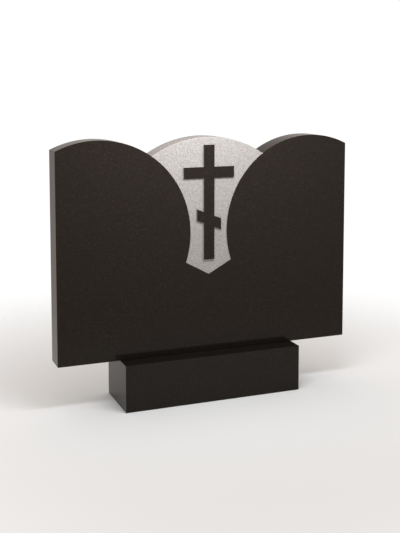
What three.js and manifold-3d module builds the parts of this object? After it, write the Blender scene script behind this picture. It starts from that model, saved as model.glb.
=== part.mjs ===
// Horizontal headstone: a wide granite slab with three round lobes along its top, standing on a plinth.
// A shallow panel is sunk into the middle of the slab's front, and an upright cross stands out of it.
// Millimetres, +Z up. The origin is the middle of the plinth's underside, and the front faces -Y.

import * as THREE from "three";
import { mergeVertices } from "three/addons/utils/BufferGeometryUtils.js";
import Module from "manifold-3d";

const wasm = await Module();
wasm.setup();

// Plinth: a plain block.
const PLINTH_LENGTH = 600;
const PLINTH_DEPTH = 200;
const PLINTH_HEIGHT = 150;

// Stele: the slab. All its heights are measured from its own foot.
const STELE_WIDTH = 1000;
const STELE_HEIGHT = 700;
const STELE_THICKNESS = 80;

// The lobes are arcs. The middle one reaches the stele's full height.
const MIDDLE_LOBE_RADIUS = 345;
const SIDE_LOBE_RADIUS = 304;
const SIDE_LOBE_X = 366.5;
const SIDE_LOBE_TOP = 698;

// The sunk panel lies between the side lobes' circles and ends below in two shoulders and a point.
const PANEL_DEPTH = 3;
const PANEL_SHOULDER_HEIGHT = 297.5;
const PANEL_POINT_HEIGHT = 255;

// Cross: its arms are equally wide, and the foot bar falls towards +X between upright ends.
const CROSS_RELIEF = 7;
const CROSS_ARM_WIDTH = 37;
const CROSS_FOOT_HEIGHT = 303;
const CROSS_TOP_HEIGHT = 675;
const CROSS_BAR_LENGTH = 174;
const CROSS_BAR_HEIGHT = 585.5;
const FOOT_BAR_LENGTH = 84;
const FOOT_BAR_HEIGHT = 433.5;
const FOOT_BAR_FALL = 33;

// Segments in half of each arc, the panel cutter's run past the stone, and the cross's root in the stone.
const ARC_SEGMENTS = 16;
const CUTTER_OVERRUN = 20;
const CROSS_ROOT = 10;

const polishedGranite = new THREE.MeshStandardMaterial({
  color: 0x2b2622,
  roughness: 0.12,
  metalness: 0,
  flatShading: true,
});

const sideLobeZ = SIDE_LOBE_TOP - SIDE_LOBE_RADIUS;
const middleLobeZ = STELE_HEIGHT - MIDDLE_LOBE_RADIUS;

// Where the right-hand lobe's circle crosses the middle lobe's, on the upper side.
function lobeJoint() {
  const middle = new THREE.Vector2(0, middleLobeZ);
  const side = new THREE.Vector2(SIDE_LOBE_X, sideLobeZ);
  const spacing = middle.distanceTo(side);
  const along = (spacing ** 2 + MIDDLE_LOBE_RADIUS ** 2 - SIDE_LOBE_RADIUS ** 2) / (2 * spacing);
  const across = Math.sqrt(MIDDLE_LOBE_RADIUS ** 2 - along ** 2);
  const towardsSide = side.sub(middle).normalize();
  const upwards = new THREE.Vector2(-towardsSide.y, towardsSide.x);
  return middle.addScaledVector(towardsSide, along).addScaledVector(upwards, across);
}

const joint = lobeJoint();
const cornerAngle = Math.acos((STELE_WIDTH / 2 - SIDE_LOBE_X) / SIDE_LOBE_RADIUS);
const jointAngle = Math.atan2(joint.y - sideLobeZ, joint.x - SIDE_LOBE_X);
const shoulderAngle = Math.PI + Math.asin((sideLobeZ - PANEL_SHOULDER_HEIGHT) / SIDE_LOBE_RADIUS);

// The stele's front outline, anticlockwise from its lower left corner. Straight edges join up to the arcs.
function steleOutline() {
  const half = STELE_WIDTH / 2;
  const middleJointAngle = Math.atan2(joint.y - middleLobeZ, joint.x);
  const [leftJointAngle, leftCornerAngle] = [Math.PI - jointAngle, Math.PI - cornerAngle];
  const outline = new THREE.Shape();
  outline.moveTo(-half, 0);
  outline.lineTo(half, 0);
  outline.absarc(SIDE_LOBE_X, sideLobeZ, SIDE_LOBE_RADIUS, cornerAngle, jointAngle, false);
  outline.absarc(0, middleLobeZ, MIDDLE_LOBE_RADIUS, middleJointAngle, Math.PI - middleJointAngle, false);
  outline.absarc(-SIDE_LOBE_X, sideLobeZ, SIDE_LOBE_RADIUS, leftJointAngle, leftCornerAngle, false);
  return outline;
}

// The cross's outline, clockwise from its foot's left corner. Both edges of the foot bar slope alike.
function crossOutline() {
  const arm = CROSS_ARM_WIDTH / 2;
  const bar = CROSS_BAR_LENGTH / 2;
  const footBar = FOOT_BAR_LENGTH / 2;
  const footBarHeightAt = (x) => FOOT_BAR_HEIGHT - (FOOT_BAR_FALL * x) / FOOT_BAR_LENGTH;
  const footBarEdge = (x, side) => [x, footBarHeightAt(x) + side * arm];
  const corners = [
    [-arm, CROSS_FOOT_HEIGHT],
    footBarEdge(-arm, -1),
    footBarEdge(-footBar, -1),
    footBarEdge(-footBar, 1),
    footBarEdge(-arm, 1),
    [-arm, CROSS_BAR_HEIGHT - arm],
    [-bar, CROSS_BAR_HEIGHT - arm],
    [-bar, CROSS_BAR_HEIGHT + arm],
    [-arm, CROSS_BAR_HEIGHT + arm],
    [-arm, CROSS_TOP_HEIGHT],
    [arm, CROSS_TOP_HEIGHT],
    [arm, CROSS_BAR_HEIGHT + arm],
    [bar, CROSS_BAR_HEIGHT + arm],
    [bar, CROSS_BAR_HEIGHT - arm],
    [arm, CROSS_BAR_HEIGHT - arm],
    footBarEdge(arm, 1),
    footBarEdge(footBar, 1),
    footBarEdge(footBar, -1),
    footBarEdge(arm, -1),
    [arm, CROSS_FOOT_HEIGHT],
  ];
  return new THREE.Shape(corners.map(([x, z]) => new THREE.Vector2(x, z)));
}

// The panel's outline, anticlockwise from above the stone, where it is open.
function panelOutline() {
  const clearOfTop = STELE_HEIGHT + CUTTER_OVERRUN;
  const [leftJointAngle, leftShoulderAngle] = [Math.PI - jointAngle, Math.PI - shoulderAngle];
  const outline = new THREE.Shape();
  outline.moveTo(joint.x, clearOfTop);
  outline.lineTo(-joint.x, clearOfTop);
  outline.absarc(-SIDE_LOBE_X, sideLobeZ, SIDE_LOBE_RADIUS, leftJointAngle, leftShoulderAngle, true);
  outline.lineTo(0, PANEL_POINT_HEIGHT);
  outline.absarc(SIDE_LOBE_X, sideLobeZ, SIDE_LOBE_RADIUS, shoulderAngle, jointAngle, true);
  return outline;
}

// An upright solid with the given front outline, between two planes of Y.
function uprightSolid(outline, frontY, backY) {
  const geometry = new THREE.ExtrudeGeometry(outline, {
    depth: backY - frontY,
    curveSegments: ARC_SEGMENTS,
    bevelEnabled: false,
  });
  geometry.rotateX(Math.PI / 2);
  geometry.translate(0, backY, 0);
  geometry.deleteAttribute("normal");
  geometry.deleteAttribute("uv");
  const merged = mergeVertices(geometry);
  return new wasm.Manifold(
    new wasm.Mesh({
      numProp: 3,
      vertProperties: new Float32Array(merged.attributes.position.array),
      triVerts: new Uint32Array(merged.index.array),
    }),
  );
}

function toGeometry(solid) {
  const { vertProperties, triVerts } = solid.getMesh();
  const geometry = new THREE.BufferGeometry();
  geometry.setAttribute("position", new THREE.BufferAttribute(vertProperties, 3));
  geometry.setIndex(new THREE.BufferAttribute(triVerts, 1));
  geometry.computeVertexNormals();
  return geometry;
}

function makePlinth() {
  const plinth = new THREE.Mesh(
    new THREE.BoxGeometry(PLINTH_LENGTH, PLINTH_DEPTH, PLINTH_HEIGHT),
    polishedGranite,
  );
  plinth.name = "plinth";
  plinth.position.z = PLINTH_HEIGHT / 2;
  return plinth;
}

function makeStele() {
  const frontY = -STELE_THICKNESS / 2;
  const panelY = frontY + PANEL_DEPTH;
  const slab = uprightSolid(steleOutline(), frontY, -frontY);
  const panelCutter = uprightSolid(panelOutline(), frontY - CUTTER_OVERRUN, panelY);
  const cross = uprightSolid(crossOutline(), panelY - CROSS_RELIEF, panelY + CROSS_ROOT);
  const stele = new THREE.Mesh(toGeometry(slab.subtract(panelCutter).add(cross)), polishedGranite);
  stele.name = "stele";
  stele.position.z = PLINTH_HEIGHT;
  return stele;
}

const headstone = new THREE.Group();
headstone.add(makePlinth(), makeStele());

export default headstone;
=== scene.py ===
import math

import bmesh
import bpy
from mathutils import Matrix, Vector


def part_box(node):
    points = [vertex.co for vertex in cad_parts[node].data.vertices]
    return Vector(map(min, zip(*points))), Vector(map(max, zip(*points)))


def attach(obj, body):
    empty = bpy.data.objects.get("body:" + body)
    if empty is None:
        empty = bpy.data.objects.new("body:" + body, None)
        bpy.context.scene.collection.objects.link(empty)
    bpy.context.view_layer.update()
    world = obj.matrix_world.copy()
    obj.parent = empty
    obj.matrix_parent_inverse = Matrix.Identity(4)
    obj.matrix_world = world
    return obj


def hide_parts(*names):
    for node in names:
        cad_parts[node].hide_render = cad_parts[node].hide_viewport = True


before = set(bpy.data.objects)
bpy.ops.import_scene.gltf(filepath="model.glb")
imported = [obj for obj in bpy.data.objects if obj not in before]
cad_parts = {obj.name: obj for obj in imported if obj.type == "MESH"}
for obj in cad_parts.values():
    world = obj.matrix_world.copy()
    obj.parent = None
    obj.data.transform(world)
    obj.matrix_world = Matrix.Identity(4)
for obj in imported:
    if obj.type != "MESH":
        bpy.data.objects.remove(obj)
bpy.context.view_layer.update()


# Plinth: one plain block of black gabbro, shorter and deeper than the slab that stands on it.
# It is sawn from a quarry block, polished on every face that shows and left sawn underneath.
# Its arrises are rubbed down by hand, so that they don't chip. It stands by its own weight.
PLINTH_ARRIS = 0.001
ARRIS_STEPS = 3
SMOOTH_ANGLE = math.radians(35)
POLISHED, SAWN = 0, 1
SQUARE_ON = 0.99


def linear(hex_colour):
    """An sRGB hex colour as the linear RGBA that shaders work in."""
    channels = [int(hex_colour[i : i + 2], 16) / 255 for i in (1, 3, 5)]
    return [c / 12.92 if c <= 0.04045 else ((c + 0.055) / 1.055) ** 2.4 for c in channels] + [1]


def add_node(tree, kind, inputs=(), stops=(), **properties):
    """Adds a node. An input is a value or an output to link, and the stops are a ramp's colours."""
    node = tree.nodes.new(kind)
    for name, value in properties.items():
        setattr(node, name, value)
    for name, value in dict(inputs).items():
        if isinstance(value, bpy.types.NodeSocket):
            tree.links.new(value, node.inputs[name])
        else:
            node.inputs[name].default_value = value
    for index, (position, colour) in enumerate(stops):
        elements = node.color_ramp.elements
        stop = elements[index] if index < len(elements) else elements.new(position)
        stop.position = position
        stop.color = linear(colour)
    return node


def apply_modifier(piece, kind, **settings):
    """Finishes a piece with a modifier and applies it."""
    modifier = piece.modifiers.new(kind.lower(), kind)
    for name, value in settings.items():
        setattr(modifier, name, value)
    bpy.ops.object.select_all(action="DESELECT")
    piece.select_set(True)
    bpy.context.view_layer.objects.active = piece
    bpy.ops.object.modifier_apply(modifier=modifier.name)


# Polished gabbro: the saw marks are ground out and the face is buffed until it mirrors the room.
# The eye sees almost pure black with a warm, even sheen, and only close by the interlocked crystals,
# as grey flecks and as grains that took the polish a little less well. Real crystals are about 1.5 mm,
# too fine to show at this size, so they are drawn at 4 mm. The sheen is matched to the object, and is
# weaker than the stone's IOR alone would give.
CRYSTAL_SIZE = 0.004
BEST_POLISH = 0.09
WORST_POLISH = 0.17

polished_gabbro = bpy.data.materials.new("polished_gabbro")
polished_gabbro.use_nodes = True
tree = polished_gabbro.node_tree
shader = tree.nodes["Principled BSDF"]
place = add_node(tree, "ShaderNodeTexCoord").outputs["Object"]
crystals = add_node(tree, "ShaderNodeTexVoronoi", {"Vector": place, "Scale": 1 / CRYSTAL_SIZE})
grain = add_node(tree, "ShaderNodeSeparateColor", {"Color": crystals.outputs["Color"]})
crystal_colour = add_node(
    tree,
    "ShaderNodeValToRGB",
    {"Fac": grain.outputs["Red"]},
    stops=[(0.0, "#171412"), (0.7, "#1b1815"), (0.93, "#1e1b18"), (1.0, "#25211e")],
)
crystal_gloss = add_node(
    tree,
    "ShaderNodeMapRange",
    {"Value": grain.outputs["Green"], "To Min": BEST_POLISH, "To Max": WORST_POLISH},
)
tree.links.new(crystal_colour.outputs["Color"], shader.inputs["Base Color"])
tree.links.new(crystal_gloss.outputs["Result"], shader.inputs["Roughness"])
shader.inputs["IOR"].default_value = 1.5
shader.inputs["Specular IOR Level"].default_value = 0.19
shader.inputs["Specular Tint"].default_value = linear("#fff3e9")

# Sawn gabbro: a wire saw leaves a dull mid-grey face with faint parallel scores about 8 mm apart.
# At scale 1 the wave texture repeats every pi / 10 metres.
SCORE_SPACING = 0.008
WAVE_SPACING = math.pi / 10

sawn_gabbro = bpy.data.materials.new("sawn_gabbro")
sawn_gabbro.use_nodes = True
tree = sawn_gabbro.node_tree
shader = tree.nodes["Principled BSDF"]
place = add_node(tree, "ShaderNodeTexCoord").outputs["Object"]
scores = add_node(
    tree,
    "ShaderNodeTexWave",
    {"Vector": place, "Scale": WAVE_SPACING / SCORE_SPACING, "Distortion": 2, "Detail": 3},
    bands_direction="Y",
)
score_colour = add_node(
    tree,
    "ShaderNodeValToRGB",
    {"Fac": scores.outputs["Fac"]},
    stops=[(0.0, "#45413d"), (1.0, "#59544f")],
)
score_bump = add_node(
    tree, "ShaderNodeBump", {"Height": scores.outputs["Fac"], "Strength": 0.3, "Distance": 0.0003}
)
tree.links.new(score_colour.outputs["Color"], shader.inputs["Base Color"])
tree.links.new(score_bump.outputs["Normal"], shader.inputs["Normal"])
shader.inputs["Roughness"].default_value = 0.7

plinth_low, plinth_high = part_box("plinth")
bpy.ops.object.select_all(action="DESELECT")
bpy.ops.mesh.primitive_cube_add(
    size=1, location=(plinth_low + plinth_high) / 2, scale=plinth_high - plinth_low
)
plinth = bpy.context.object
plinth.name = "plinth_block"
bpy.ops.object.transform_apply(location=True, rotation=True, scale=True)
bpy.ops.object.mode_set(mode="EDIT")
bpy.ops.mesh.select_all(action="SELECT")
bpy.ops.mesh.bevel(offset=PLINTH_ARRIS, segments=ARRIS_STEPS, affect="EDGES")
bpy.ops.object.mode_set(mode="OBJECT")
bpy.ops.object.shade_smooth_by_angle(angle=SMOOTH_ANGLE)
apply_modifier(plinth, "WEIGHTED_NORMAL", keep_sharp=True)
plinth.data.materials.append(polished_gabbro)
plinth.data.materials.append(sawn_gabbro)
for face in plinth.data.polygons:
    face.material_index = SAWN if face.normal.z < -SQUARE_ON else POLISHED
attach(plinth, "root")
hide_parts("plinth")


# Stele: one slab of the same gabbro, cut by a wire saw to an outline with round lobes along its top.
# All but its sawn foot is polished. A shallow panel is hammered into the front between the side lobes
# and over the middle lobe's top to the back, and a polished cross stands out of it.
STELE_ARRIS = 0.0015
MIDDLE_LOBE_CHAMFER = 0.004
CHAMFER_STEPS = 1
MIDDLE_LOBE_RADIUS = 0.345
SIDE_LOBE_RADIUS = 0.304
SIDE_LOBE_X = 0.3665
SIDE_LOBE_DROP = 0.002
PANEL_DEPTH = 0.003
PANEL_SHOULDER_HEIGHT = 0.2975
PANEL_POINT_HEIGHT = 0.255
CROSS_RELIEF = 0.007
CROSS_ROOT = 0.010
CROSS_ARM_WIDTH = 0.037
CROSS_FOOT_HEIGHT = 0.303
CROSS_TOP_HEIGHT = 0.675
CROSS_BAR_LENGTH = 0.174
CROSS_BAR_HEIGHT = 0.5855
FOOT_BAR_LENGTH = 0.084
FOOT_BAR_HEIGHT = 0.4335
FOOT_BAR_FALL = 0.033
OVERRUN = 0.020
ARC_STEP = 0.002
SAME_PLACE = 0.0001
SHARP_ANGLE = math.radians(30)

stele_low, stele_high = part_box("stele")
foot_z = stele_low.z
cross_y = stele_low.y
panel_y = cross_y + CROSS_RELIEF
front_y = panel_y - PANEL_DEPTH
back_y = stele_high.y
middle_centre = Vector((0, stele_high.z - MIDDLE_LOBE_RADIUS))
right_centre = Vector((SIDE_LOBE_X, stele_high.z - SIDE_LOBE_DROP - SIDE_LOBE_RADIUS))


def mirrored(point):
    """The same point on the slab's other side."""
    return Vector((-point.x, point.y))


def direction_to(centre, point):
    """A point's angle round a centre, anticlockwise from the right as seen from the front."""
    return math.atan2(point.y - centre.y, point.x - centre.x) % math.tau


# The circles of the middle and the right-hand lobe cross at the joint. The right-hand one meets the
# slab's side at the corner and the panel's lower edge at the shoulder.
centre_line = right_centre - middle_centre
spacing = centre_line.length
along = (spacing**2 + MIDDLE_LOBE_RADIUS**2 - SIDE_LOBE_RADIUS**2) / (2 * spacing)
across = math.sqrt(MIDDLE_LOBE_RADIUS**2 - along**2)
joint = middle_centre + (centre_line * along + centre_line.orthogonal() * across) / spacing
corner_run = stele_high.x - right_centre.x
corner = Vector((stele_high.x, right_centre.y + math.sqrt(SIDE_LOBE_RADIUS**2 - corner_run**2)))
shoulder_z = foot_z + PANEL_SHOULDER_HEIGHT
shoulder_run = math.sqrt(SIDE_LOBE_RADIUS**2 - (right_centre.y - shoulder_z) ** 2)
shoulder = Vector((right_centre.x - shoulder_run, shoulder_z))
lobe_turn = direction_to(right_centre, joint) - direction_to(right_centre, corner)
middle_turn = math.pi - 2 * direction_to(middle_centre, joint)
panel_turn = direction_to(right_centre, joint) - direction_to(right_centre, shoulder)


def outlined_block(name, start, moves, near_y, far_y):
    """A closed block. Its front outline runs by lines to points and by turns round centres."""
    bpy.ops.object.select_all(action="DESELECT")
    bpy.ops.mesh.primitive_plane_add(size=OVERRUN)
    block = bpy.context.object
    block.name = name
    bpy.ops.object.mode_set(mode="EDIT")
    bpy.ops.mesh.select_all(action="SELECT")
    bpy.ops.mesh.merge(type="CENTER")
    bpy.ops.transform.translate(value=(start.x, near_y, start.y))
    pen = start
    for point, turn in moves:
        if turn:
            radius = (pen - point).length
            steps = math.ceil(abs(turn) * radius / ARC_STEP)
            centre = (point.x, near_y, point.y)
            bpy.ops.mesh.spin(steps=steps, angle=turn, center=centre, axis=(0, 1, 0))
            angle = direction_to(point, pen) + turn
            pen = point + radius * Vector((math.cos(angle), math.sin(angle)))
        else:
            run = (point.x - pen.x, 0, point.y - pen.y)
            bpy.ops.mesh.extrude_vertices_move(TRANSFORM_OT_translate={"value": run})
            pen = point
    bpy.ops.mesh.select_all(action="SELECT")
    bpy.ops.mesh.remove_doubles(threshold=SAME_PLACE)
    bpy.ops.mesh.edge_face_add()
    bpy.ops.mesh.extrude_region_move(TRANSFORM_OT_translate={"value": (0, far_y - near_y, 0)})
    bpy.ops.mesh.select_all(action="SELECT")
    bpy.ops.mesh.normals_make_consistent(inside=False)
    bpy.ops.object.mode_set(mode="OBJECT")
    return block


def combine(piece, other, operation):
    """Joins another block to a piece, or cuts it out of the piece."""
    apply_modifier(piece, "BOOLEAN", operation=operation, solver="EXACT", object=other)
    bpy.data.objects.remove(other)


lower_right = Vector((stele_high.x, foot_z))
stele = outlined_block(
    "stele_stone",
    lower_right,
    [
        (corner, 0),
        (right_centre, lobe_turn),
        (middle_centre, middle_turn),
        (mirrored(right_centre), lobe_turn),
        (mirrored(lower_right), 0),
        (lower_right, 0),
    ],
    front_y,
    back_y,
)
above_joint = Vector((joint.x, stele_high.z + OVERRUN))
panel_cutter = outlined_block(
    "panel_cutter",
    above_joint,
    [
        (mirrored(above_joint), 0),
        (mirrored(joint), 0),
        (mirrored(right_centre), panel_turn),
        (Vector((0, foot_z + PANEL_POINT_HEIGHT)), 0),
        (shoulder, 0),
        (right_centre, panel_turn),
        (above_joint, 0),
    ],
    front_y - OVERRUN,
    panel_y,
)
combine(stele, panel_cutter, "DIFFERENCE")


def cross_arm(length, low, high):
    """One arm of the cross, with its root in the slab."""
    bpy.ops.object.select_all(action="DESELECT")
    root_y = panel_y + CROSS_ROOT
    bpy.ops.mesh.primitive_cube_add(
        size=1,
        location=(0, (cross_y + root_y) / 2, foot_z + (low + high) / 2),
        scale=(length, root_y - cross_y, high - low),
    )
    bpy.ops.object.transform_apply(location=True, rotation=True, scale=True)
    return bpy.context.object


half_arm = CROSS_ARM_WIDTH / 2
cross = cross_arm(CROSS_ARM_WIDTH, CROSS_FOOT_HEIGHT, CROSS_TOP_HEIGHT)
cross_bar = cross_arm(CROSS_BAR_LENGTH, CROSS_BAR_HEIGHT - half_arm, CROSS_BAR_HEIGHT + half_arm)
foot_bar = cross_arm(FOOT_BAR_LENGTH, FOOT_BAR_HEIGHT - half_arm, FOOT_BAR_HEIGHT + half_arm)
bpy.ops.object.mode_set(mode="EDIT")
bpy.ops.mesh.select_mode(type="VERT")
for side in (-1, 1):
    bpy.ops.mesh.select_all(action="DESELECT")
    mesh = bmesh.from_edit_mesh(foot_bar.data)
    for point in mesh.verts:
        point.select = point.co.x * side > 0
    mesh.select_flush(True)
    bpy.ops.transform.translate(value=(0, 0, -side * FOOT_BAR_FALL / 2))
bpy.ops.object.mode_set(mode="OBJECT")
combine(cross, cross_bar, "UNION")
combine(cross, foot_bar, "UNION")
combine(stele, cross, "UNION")

# The arrises are rounded. Along the middle lobe's front, where hammering would break a sharp one, a
# wider chamfer is cut.
bpy.ops.object.mode_set(mode="EDIT")
bpy.ops.mesh.select_mode(type="EDGE")
bpy.ops.mesh.select_all(action="SELECT")
bpy.ops.mesh.remove_doubles(threshold=SAME_PLACE)


def height_over_lobe(point):
    """How far a point lies outside the middle lobe's circle."""
    return (point.xz - middle_centre).length - MIDDLE_LOBE_RADIUS


def on_lobe_front(edge):
    """Whether an edge runs along the middle lobe's front, where its top meets the panel."""
    return all(
        abs(end.co.y - panel_y) < SAME_PLACE and abs(height_over_lobe(end.co)) < SAME_PLACE
        for end in edge.verts
    )


def ease_arrises(wanted, width, steps):
    """Bevels those of the stele's outward edges that are wanted."""
    bpy.ops.mesh.select_all(action="DESELECT")
    mesh = bmesh.from_edit_mesh(stele.data)
    for edge in mesh.edges:
        if edge.is_convex and edge.calc_face_angle() > SHARP_ANGLE and wanted(edge):
            edge.select_set(True)
    bmesh.update_edit_mesh(stele.data)
    bpy.ops.mesh.bevel(offset=width, segments=steps, affect="EDGES")


ease_arrises(lambda edge: not on_lobe_front(edge), STELE_ARRIS, ARRIS_STEPS)
ease_arrises(on_lobe_front, MIDDLE_LOBE_CHAMFER, CHAMFER_STEPS)

# Hammered gabbro: a bush hammer's teeth crush the crystals at the surface to a pale, dull grey.
# The eye sees an even light grey with a fine grain of lighter and darker spots, and no gloss at all.
# The spots are drawn at 3 mm, about twice their real size, so that they show.
SPOT_SIZE = 0.003
GRIT_SIZE = 0.0015

hammered_gabbro = bpy.data.materials.new("hammered_gabbro")
hammered_gabbro.use_nodes = True
tree = hammered_gabbro.node_tree
shader = tree.nodes["Principled BSDF"]
place = add_node(tree, "ShaderNodeTexCoord").outputs["Object"]
spots = add_node(tree, "ShaderNodeTexNoise", {"Vector": place, "Scale": 1 / SPOT_SIZE, "Detail": 3})
spot_colour = add_node(
    tree,
    "ShaderNodeValToRGB",
    {"Fac": spots.outputs["Fac"]},
    stops=[(0.3, "#817f7d"), (0.5, "#949291"), (0.7, "#a6a4a3")],
)
grit = add_node(tree, "ShaderNodeTexNoise", {"Vector": place, "Scale": 1 / GRIT_SIZE, "Detail": 2})
grit_bump = add_node(
    tree, "ShaderNodeBump", {"Height": grit.outputs["Fac"], "Strength": 0.5, "Distance": 0.0004}
)
tree.links.new(spot_colour.outputs["Color"], shader.inputs["Base Color"])
tree.links.new(grit_bump.outputs["Normal"], shader.inputs["Normal"])
shader.inputs["Roughness"].default_value = 0.9
shader.inputs["Specular IOR Level"].default_value = 0.3

# The panel's floor, the middle lobe's top and the chamfer between them are hammered. They are cut into
# small squares, and the squares are pushed in and out by the hammer's marks, but not along their edges.
# The low walls round the panel and the cross are as pale, but too narrow for marks.
HAMMERED = 2
HAMMER_GRID = 0.002
MARK_SIZE = 0.005
MARK_DEPTH = 0.0008
FACING_OUT = 0.2
FACING_SIDEWAYS = 0.5

for finish in (polished_gabbro, sawn_gabbro, hammered_gabbro):
    stele.data.materials.append(finish)
stele.active_material_index = HAMMERED
bpy.ops.mesh.select_mode(type="FACE")


def hammer_faces(wanted):
    """Gives the hammered finish to those of the stele's faces that are wanted."""
    mesh = bmesh.from_edit_mesh(stele.data)
    for face in mesh.faces:
        if wanted(face.calc_center_median(), face.normal):
            face.material_index = HAMMERED
    bmesh.update_edit_mesh(stele.data)


def cut_hammered_faces(across, low, high):
    """Cuts the hammered faces across a direction into strips as wide as the grid."""
    for strip in range(1, math.ceil((high - low) / HAMMER_GRID)):
        bpy.ops.mesh.select_all(action="DESELECT")
        bpy.ops.object.material_slot_select()
        bpy.ops.mesh.bisect(plane_co=across * (low + strip * HAMMER_GRID), plane_no=across)


def on_panel_floor(middle, normal):
    """Whether a face is part of the panel's floor."""
    return normal.y < -SQUARE_ON and abs(middle.y - panel_y) < SAME_PLACE


def on_lobe_top(middle, normal):
    """Whether a face is part of the middle lobe's top or of its chamfer."""
    outward = (middle.xz - middle_centre).normalized()
    near_circle = abs(height_over_lobe(middle)) < MIDDLE_LOBE_CHAMFER
    return near_circle and abs(middle.x) < joint.x and outward.dot(normal.xz) > FACING_OUT


def on_raised_edge(middle, normal):
    """Whether a face is part of the low walls round the panel and the cross."""
    in_panel = abs(middle.x) < joint.x and middle.z > foot_z + PANEL_POINT_HEIGHT
    return in_panel and abs(normal.y) < FACING_SIDEWAYS and cross_y < middle.y < panel_y


hammer_faces(on_panel_floor)
cut_hammered_faces(Vector((1, 0, 0)), -joint.x, joint.x)
cut_hammered_faces(Vector((0, 0, 1)), foot_z + PANEL_POINT_HEIGHT, stele_high.z)
hammer_faces(on_lobe_top)
cut_hammered_faces(Vector((0, 1, 0)), panel_y + MIDDLE_LOBE_CHAMFER, back_y - STELE_ARRIS)
bpy.ops.mesh.select_all(action="SELECT")
bpy.ops.mesh.dissolve_degenerate(threshold=SAME_PLACE)
mesh = bmesh.from_edit_mesh(stele.data)
inner_points = [
    point.index
    for point in mesh.verts
    if all(face.material_index == HAMMERED for face in point.link_faces)
]
hammer_faces(on_raised_edge)
bpy.ops.object.mode_set(mode="OBJECT")
hammered_area = stele.vertex_groups.new(name="hammered")
hammered_area.add(inner_points, 1, "REPLACE")
hammer_marks = bpy.data.textures.new("hammer_marks", "VORONOI")
hammer_marks.noise_scale = MARK_SIZE
apply_modifier(
    stele,
    "DISPLACE",
    texture=hammer_marks,
    texture_coords="LOCAL",
    vertex_group=hammered_area.name,
    strength=MARK_DEPTH,
    mid_level=0.5,
)
bpy.ops.object.shade_smooth_by_angle(angle=SMOOTH_ANGLE)
apply_modifier(stele, "WEIGHTED_NORMAL", keep_sharp=True)
for face in stele.data.polygons:
    if face.normal.z < -SQUARE_ON and face.center.z < foot_z + SAME_PLACE:
        face.material_index = SAWN
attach(stele, "root")
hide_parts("stele")


# Studio: a pale floor that fades into a white backdrop, a soft lamp above the panel and a plain room.
# The backdrop is only looked at. The stone mirrors the room, which is brightest low in front and above.
FLOOR_RADIUS = 1.8
FLOOR_SIDES = 96
FLOOR_FADE_START = 0.45
FLOOR_COLOUR = "#e8eff3"
BACKDROP_RADIUS = 12.0

bpy.ops.object.select_all(action="DESELECT")
bpy.ops.mesh.primitive_circle_add(vertices=FLOOR_SIDES, radius=FLOOR_RADIUS, fill_type="NGON")
floor = bpy.context.object
floor.name = "studio_floor"

# Pale floor: matt paper, faintly blue, so that it looks neutral in the warm light.
pale_floor = bpy.data.materials.new("pale_floor")
pale_floor.use_nodes = True
tree = pale_floor.node_tree
shader = tree.nodes["Principled BSDF"]
place = add_node(tree, "ShaderNodeTexCoord").outputs["Object"]
distance = add_node(tree, "ShaderNodeVectorMath", {"Vector": place}, operation="LENGTH")
fade = add_node(
    tree,
    "ShaderNodeMapRange",
    {
        "Value": distance.outputs["Value"],
        "From Min": FLOOR_FADE_START,
        "From Max": FLOOR_RADIUS,
        "To Min": 1,
        "To Max": 0,
    },
    interpolation_type="SMOOTHSTEP",
)
tree.links.new(fade.outputs["Result"], shader.inputs["Alpha"])
shader.inputs["Base Color"].default_value = linear(FLOOR_COLOUR)
shader.inputs["Roughness"].default_value = 1
shader.inputs["Specular IOR Level"].default_value = 0
floor.data.materials.append(pale_floor)

bpy.ops.object.select_all(action="DESELECT")
bpy.ops.mesh.primitive_uv_sphere_add(radius=BACKDROP_RADIUS)
backdrop = bpy.context.object
backdrop.name = "studio_backdrop"

# White paper: lit evenly from all sides, so that the camera sees plain white.
white_paper = bpy.data.materials.new("white_paper")
white_paper.use_nodes = True
shader = white_paper.node_tree.nodes["Principled BSDF"]
shader.inputs["Base Color"].default_value = linear("#000000")
shader.inputs["Emission Color"].default_value = linear("#ffffff")
shader.inputs["Emission Strength"].default_value = 1
backdrop.data.materials.append(white_paper)
backdrop.visible_diffuse = False
backdrop.visible_glossy = False
backdrop.visible_transmission = False
backdrop.visible_shadow = False

# The room's light changes with direction: from low in front to the horizon, above that, towards the
# back and up to the ceiling. Z is the sine of the elevation, and +Y points to the back.
ROOM_TINT = "#fff2ea"
LOW_FRONT_LIGHT = 0.65
HORIZON_LIGHT = 1.2
UPPER_FRONT_LIGHT = 0.4
BEHIND_LIGHT = 0.6
CEILING_LIGHT = 1.7

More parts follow.
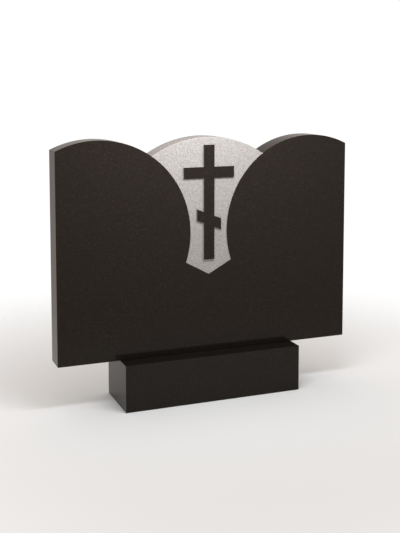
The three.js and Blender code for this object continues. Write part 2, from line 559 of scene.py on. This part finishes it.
room = bpy.data.worlds.new("studio_room")
bpy.context.scene.world = room
room.use_nodes = True
tree = room.node_tree
background = tree.nodes["Background"]
background.inputs["Color"].default_value = linear(ROOM_TINT)
towards = add_node(tree, "ShaderNodeTexCoord").outputs["Generated"]
parts = add_node(tree, "ShaderNodeSeparateXYZ", {"Vector": towards})
light = LOW_FRONT_LIGHT
for axis, start, end, brightness in (
    ("Z", -0.28, -0.04, HORIZON_LIGHT),
    ("Z", 0.0, 0.15, UPPER_FRONT_LIGHT),
    ("Y", -0.1, 0.6, BEHIND_LIGHT),
    ("Z", 0.6, 1.0, CEILING_LIGHT),
):
    change = add_node(
        tree,
        "ShaderNodeMapRange",
        {
            "Value": parts.outputs[axis],
            "From Min": start,
            "From Max": end,
            "To Min": light,
            "To Max": brightness,
        },
    )
    light = change.outputs["Result"]
tree.links.new(light, background.inputs["Strength"])

# The lamp hangs in front of the panel's top and above it, a little to the left. Only its light shows:
# neither the camera nor the polish sees its shape.
LAMP_LEFT = 0.05
LAMP_REACH = 0.45
LAMP_RISE = 0.22
LAMP_LENGTH = 0.7
LAMP_DEPTH = 0.2
LAMP_WATTS = 6.6

lamp_place = Vector((-LAMP_LEFT, front_y - LAMP_REACH, stele_high.z + LAMP_RISE))
bpy.ops.object.select_all(action="DESELECT")
bpy.ops.object.light_add(type="AREA", location=lamp_place)
lamp = bpy.context.object
lamp.name = "panel_lamp"
lamp.data.shape = "RECTANGLE"
lamp.data.size = LAMP_LENGTH
lamp.data.size_y = LAMP_DEPTH
lamp.data.energy = LAMP_WATTS
panel_top = Vector((0, panel_y, stele_high.z))
lamp.rotation_euler = (panel_top - lamp_place).to_track_quat("-Z", "Y").to_euler()
lamp.visible_camera = False
lamp.visible_glossy = False

# Camera: at chest height, about three metres away in front and to the left. It looks down only a
# little, with its lens shifted down for the rest, so that uprights stay nearly upright.
CAMERA_PLACE = (-1.099, -2.7746, 1.0523)
CAMERA_YAW = math.radians(21.342)
CAMERA_PITCH = math.radians(5.359)
CAMERA_LENS = 62.34
CAMERA_SHIFT = -0.2

bpy.ops.object.camera_add(
    location=CAMERA_PLACE, rotation=(math.pi / 2 - CAMERA_PITCH, 0, -CAMERA_YAW)
)
camera = bpy.context.object
camera.data.lens = CAMERA_LENS
camera.data.shift_y = CAMERA_SHIFT
bpy.context.scene.camera = camera
bpy.context.scene.view_settings.view_transform = "Standard"
